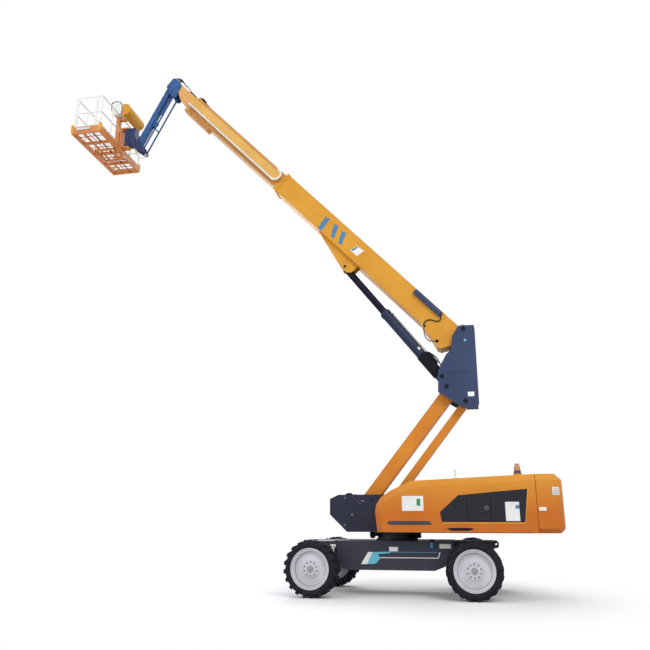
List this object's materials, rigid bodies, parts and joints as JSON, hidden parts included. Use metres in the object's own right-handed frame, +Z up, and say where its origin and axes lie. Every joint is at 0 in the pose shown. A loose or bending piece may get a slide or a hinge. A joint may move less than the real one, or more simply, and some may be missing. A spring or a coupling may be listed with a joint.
{
  "type": "boom lift",
  "caption": "Self-propelled boom lift with a parallelogram riser, a telescopic boom, a jib and a railed platform, on lugged tyres.",
  "frame": {"origin": "on the ground below the middle of the whole length and width", "axes": "+X forward, the way the boom points; +Y to the machine's left; +Z up"},
  "size_m": [12.205, 3.0664, 14.07],
  "materials": {
    "yellow_paint": "satin",
    "grey_paint": "satin",
    "chassis_paint": "satin",
    "steel_blue_paint": "satin",
    "rim_paint": "satin",
    "tyre_rubber": "matt",
    "dark_plastic": "matt",
    "hose_cover": "matt",
    "rod_chrome": "polished",
    "bare_steel": "machined",
    "rail_paint": "gloss",
    "amber_lens": "clear",
    "tank_paint": "matt"
  },
  "bodies": {
    "chassis": {"chassis_frame": "chassis_paint", "front_axle": "chassis_paint", "rear_axle": "chassis_paint", "slew_ring": "bare_steel"},
    "steer_left": {"steer_knuckle_left": "chassis_paint"},
    "steer_right": {"steer_knuckle_right": "chassis_paint"},
    "wheel_front_left": {"rim_front_left": "rim_paint", "tyre_front_left": "tyre_rubber"},
    "wheel_front_right": {"rim_front_right": "rim_paint", "tyre_front_right": "tyre_rubber"},
    "wheel_rear_left": {"rim_rear_left": "rim_paint", "tyre_rear_left": "tyre_rubber"},
    "wheel_rear_right": {"rim_rear_right": "rim_paint", "tyre_rear_right": "tyre_rubber"},
    "turntable": {"turntable_frame": "grey_paint", "counterweight": "yellow_paint", "engine_block": "bare_steel", "tank": "tank_paint"},
    "left_hood": {"hood_left": "yellow_paint", "hood_panel_left": "dark_plastic", "beacon": "amber_lens"},
    "left_door": {"access_door": "dark_plastic"},
    "right_hood": {"hood_right": "yellow_paint", "hood_panel_right": "dark_plastic"},
    "riser": {"riser_arm": "yellow_paint"},
    "riser_bar": {"riser_link": "yellow_paint"},
    "upright_frame": {"upright": "grey_paint"},
    "boom_first": {"boom_base": "yellow_paint", "cable_box": "grey_paint"},
    "boom_second": {"boom_mid": "yellow_paint", "hose_track": "hose_cover"},
    "boom_third": {"boom_fly": "yellow_paint"},
    "cylinder_barrel": {"lift_barrel": "grey_paint"},
    "cylinder_rod": {"lift_rod": "rod_chrome"},
    "boom_tip": {"tip_bracket": "steel_blue_paint"},
    "jib": {"jib_arm": "steel_blue_paint"},
    "jib_bars": {"jib_link": "steel_blue_paint"},
    "jib_cylinder_barrel": {"jib_barrel": "steel_blue_paint"},
    "jib_cylinder_rod": {"jib_rod": "rod_chrome"},
    "jib_end": {"jib_head": "grey_paint"},
    "platform": {"platform_mount": "yellow_paint", "platform_floor": "yellow_paint", "platform_rails": "rail_paint", "console": "grey_paint", "console_cover": "yellow_paint"},
    "gate": {"platform_gate": "rail_paint"}
  },
  "joints": [
    {"name": "steer_left", "type": "hinge", "parent": "chassis", "child": "steer_left", "pos_m": [-0.8875, 0.9, 0.575], "axis": [0, 0, 1], "range_deg": [-24, 32]},
    {"name": "steer_right", "type": "hinge", "parent": "chassis", "child": "steer_right", "pos_m": [-0.8875, -0.9, 0.575], "axis": [0, 0, 1], "range_deg": [-24, 32]},
    {"name": "spin_front_left", "type": "hinge", "parent": "steer_left", "child": "wheel_front_left", "pos_m": [-0.86117, 1.27658, 0.575], "axis": [0.0698, 0.9976, 0], "continuous": true},
    {"name": "spin_front_right", "type": "hinge", "parent": "steer_right", "child": "wheel_front_right", "pos_m": [-0.91383, -1.27658, 0.575], "axis": [0.0698, 0.9976, 0], "continuous": true},
    {"name": "spin_rear_left", "type": "hinge", "parent": "chassis", "child": "wheel_rear_left", "pos_m": [-4.2275, 1.2775, 0.575], "axis": [0, 1, 0], "continuous": true},
    {"name": "spin_rear_right", "type": "hinge", "parent": "chassis", "child": "wheel_rear_right", "pos_m": [-4.2275, -1.2775, 0.575], "axis": [0, 1, 0], "continuous": true},
    {"name": "slew", "type": "hinge", "parent": "chassis", "child": "turntable", "pos_m": [-2.5575, 0, 1.3], "axis": [0, 0, 1], "continuous": true},
    {"name": "left_hood_lid", "type": "hinge", "parent": "turntable", "child": "left_hood", "pos_m": [-4.2675, 0.5, 2.39717], "axis": [0.999, 0, -0.0449], "range_deg": [0, 55]},
    {"name": "right_hood_lid", "type": "hinge", "parent": "turntable", "child": "right_hood", "pos_m": [-4.2675, -0.5, 2.39717], "axis": [-0.999, 0, 0.0449], "range_deg": [0, 55]},
    {"name": "left_door_hinge", "type": "hinge", "parent": "left_hood", "child": "left_door", "pos_m": [-4.1475, 1.256, 1.7925], "axis": [0, 0, -1], "range_deg": [0, 110]},
    {"name": "riser_lift", "type": "hinge", "parent": "turntable", "child": "riser", "pos_m": [-1.7775, 0, 1.95], "axis": [0, 1, 0], "range_deg": [-45, 20]},
    {"name": "riser_bar_swing", "type": "hinge", "parent": "turntable", "child": "riser_bar", "pos_m": [-2.1875, 0, 1.59], "axis": [0, 1, 0], "range_deg": [-45, 20]},
    {"name": "upright_level", "type": "hinge", "parent": "riser", "child": "upright_frame", "pos_m": [-3.83802, 0, 4.54043], "axis": [0, 1, 0], "range_deg": [-20, 45]},
    {"name": "boom_lift", "type": "hinge", "parent": "upright_frame", "child": "boom_first", "pos_m": [-4.2875, 0, 5.9], "axis": [0, -1, 0], "range_deg": [-45, 18.5]},
    {"name": "boom_second_slide", "type": "slide", "parent": "boom_first", "child": "boom_second", "axis": [0.6884, 0, 0.7254], "range_m": [-2.9, 1.4]},
    {"name": "boom_third_slide", "type": "slide", "parent": "boom_second", "child": "boom_third", "axis": [0.6884, 0, 0.7254], "range_m": [-0.1, 5]},
    {"name": "cylinder_barrel_swing", "type": "hinge", "parent": "upright_frame", "child": "cylinder_barrel", "pos_m": [-3.7575, 0, 4.78], "axis": [0, -1, 0], "range_deg": [-41.33, 17.11]},
    {"name": "cylinder_rod_slide", "type": "slide", "parent": "cylinder_barrel", "child": "cylinder_rod", "axis": [0.6132, 0, 0.7899], "range_m": [-0.9318, 0.386]},
    {"name": "tip_level", "type": "hinge", "parent": "boom_third", "child": "boom_tip", "pos_m": [3.4625, 0, 13.8], "axis": [0, -1, 0], "range_deg": [-18.5, 45]},
    {"name": "jib_lift", "type": "hinge", "parent": "boom_tip", "child": "jib", "pos_m": [3.7825, 0, 13.82], "axis": [0, -1, 0], "range_deg": [-5, 70]},
    {"name": "jib_bars_swing", "type": "hinge", "parent": "boom_tip", "child": "jib_bars", "pos_m": [3.6225, 0, 13.53], "axis": [0, -1, 0], "range_deg": [-5, 70]},
    {"name": "jib_cylinder_swing", "type": "hinge", "parent": "boom_tip", "child": "jib_cylinder_barrel", "pos_m": [3.6925, 0, 13.67], "axis": [0, -1, 0], "range_deg": [-5, 70]},
    {"name": "jib_rod_slide", "type": "slide", "parent": "jib_cylinder_barrel", "child": "jib_cylinder_rod", "axis": [0.441, 0, -0.8975], "range_m": [-0.0163, 0.2024]},
    {"name": "jib_end_level", "type": "hinge", "parent": "jib", "child": "jib_end", "pos_m": [4.6325, 0, 12.09], "axis": [0, -1, 0], "range_deg": [-70, 5]},
    {"name": "platform_turn", "type": "hinge", "parent": "jib_end", "child": "platform", "pos_m": [5.0225, 0, 12.05], "axis": [0, 0, 1], "range_deg": [-90, 90]},
    {"name": "gate_hinge", "type": "hinge", "parent": "platform", "child": "gate", "pos_m": [6.0025, 1.15, 12.13], "axis": [0, 0, 1], "range_deg": [0, 85]}
  ],
  "couplings": [
    {"joint": "steer_right", "follows": "steer_left", "ratio": 1},
    {"joint": "riser_bar_swing", "follows": "riser_lift", "ratio": 1},
    {"joint": "upright_level", "follows": "riser_lift", "ratio": -1},
    {"joint": "cylinder_barrel_swing", "follows": "boom_lift", "ratio": 0.914},
    {"joint": "cylinder_rod_slide", "follows": "boom_lift", "m_per_rad": 1.18},
    {"joint": "tip_level", "follows": "boom_lift", "ratio": -1},
    {"joint": "jib_bars_swing", "follows": "jib_lift", "ratio": 1},
    {"joint": "jib_cylinder_swing", "follows": "jib_lift", "ratio": 1},
    {"joint": "jib_rod_slide", "follows": "jib_lift", "m_per_rad": 0.164},
    {"joint": "jib_end_level", "follows": "jib_lift", "ratio": -1}
  ]
}
